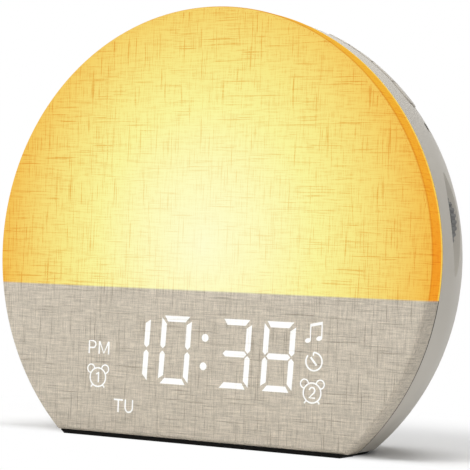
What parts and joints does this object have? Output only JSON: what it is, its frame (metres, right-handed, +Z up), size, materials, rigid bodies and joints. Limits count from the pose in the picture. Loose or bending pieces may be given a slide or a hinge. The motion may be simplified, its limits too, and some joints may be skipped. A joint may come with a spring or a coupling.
{
  "type": "sunrise alarm clock",
  "caption": "Round, flat-bottomed sunrise alarm clock with a linen front, glowing upper half, lit time display, rim keys and a recessed thumbwheel.",
  "frame": {"origin": "centre of the bounding box on the plane the pad rests on", "axes": "+Z up from the resting plane, front face towards -Y, +X to the viewer's right when facing the display"},
  "size_m": [0.18, 0.0586, 0.1579],
  "materials": {
    "linen": "fine linen weave with slubs, lit from behind above the middle",
    "diffuser": "milky translucent, glowing warm yellow",
    "panel": "matte black",
    "lightguide": "clear, glowing white",
    "black_plastic": "matte moulded",
    "white_plastic": "white reflector plastic, satin",
    "housing": "warm grey, fine grain moulded",
    "key": "warm grey, satin",
    "wheel": "dark grey, ribbed",
    "lens": "dark, polished",
    "pad": "black non-slip foam rubber",
    "board": "green lacquered board",
    "white_board": "white lacquered board",
    "led": "yellow phosphor",
    "chip": "black epoxy",
    "can": "brushed",
    "screw": "zinc plated",
    "steel": "plain",
    "cell": "satin nickel",
    "magnet": "dark sintered ferrite",
    "cone": "black pressed pulp",
    "foam": "closed cell foam",
    "wire_red": "sleeved wire",
    "wire_white": "sleeved wire",
    "plug": "ivory nylon",
    "brass": "plated pin"
  },
  "bodies": {
    "casing": {"linen_cover": "linen", "light_diffuser": "diffuser", "display_panel": "panel", "display_lightguides": "lightguide", "display_block": "black_plastic", "display_board": "board", "display_leds": "led", "reflector_tray": "white_plastic", "led_board": "white_board", "led_chips": "led", "rear_housing": "housing", "base_pad": "pad", "case_screws": "screw", "main_board": "board", "board_screws": "screw", "capacitors": "can", "processor_chip": "chip", "potentiometer": "black_plastic", "key_board": "board", "key_board_screws": "screw", "key_switches": "black_plastic", "light_sensor": "lens", "sensor_lens": "lens", "speaker_basket": "steel", "speaker_magnet": "magnet", "speaker_cone": "cone", "speaker_gasket": "foam", "speaker_screws": "screw", "coin_cell": "cell", "cell_contact_low": "steel", "cell_contact_side": "steel", "cell_leads": "wire_white", "dc_jack": "black_plastic", "dc_jack_pin": "brass", "wire_plugs": "plug", "led_lead": "wire_red", "speaker_lead": "wire_red", "power_lead": "wire_red", "key_lead": "wire_white", "display_ribbon": "wire_white"},
    "key_1": {"key_cap_1": "key", "switch_plunger_1": "white_plastic"},
    "key_2": {"key_cap_2": "key", "switch_plunger_2": "white_plastic"},
    "key_3": {"key_cap_3": "key", "switch_plunger_3": "white_plastic"},
    "key_4": {"key_cap_4": "key", "switch_plunger_4": "white_plastic"},
    "wheel": {"thumbwheel": "wheel", "potentiometer_shaft": "steel"},
    "door": {"battery_door": "housing"}
  },
  "joints": [
    {"name": "key_1_press", "type": "slide", "parent": "casing", "child": "key_1", "axis": [-0.6018, 0, -0.7986], "range_m": [0, 0.0005], "stiffness_N_per_m": 3200},
    {"name": "key_2_press", "type": "slide", "parent": "casing", "child": "key_2", "axis": [-0.6018, 0, -0.7986], "range_m": [0, 0.0005], "stiffness_N_per_m": 3200},
    {"name": "key_3_press", "type": "slide", "parent": "casing", "child": "key_3", "axis": [-0.6018, 0, -0.7986], "range_m": [0, 0.0005], "stiffness_N_per_m": 3200},
    {"name": "key_4_press", "type": "slide", "parent": "casing", "child": "key_4", "axis": [-0.6018, 0, -0.7986], "range_m": [0, 0.0005], "stiffness_N_per_m": 3200},
    {"name": "thumbwheel_turn", "type": "hinge", "parent": "casing", "child": "wheel", "pos_m": [0.07277, -0.0072, 0.08126], "axis": [0, 1, 0], "range_deg": [-135, 135]},
    {"name": "battery_door_turn", "type": "hinge", "parent": "casing", "child": "door", "pos_m": [-0.038, 0.0282, 0.0559], "axis": [0, 1, 0], "range_deg": [0, 40]}
  ]
}
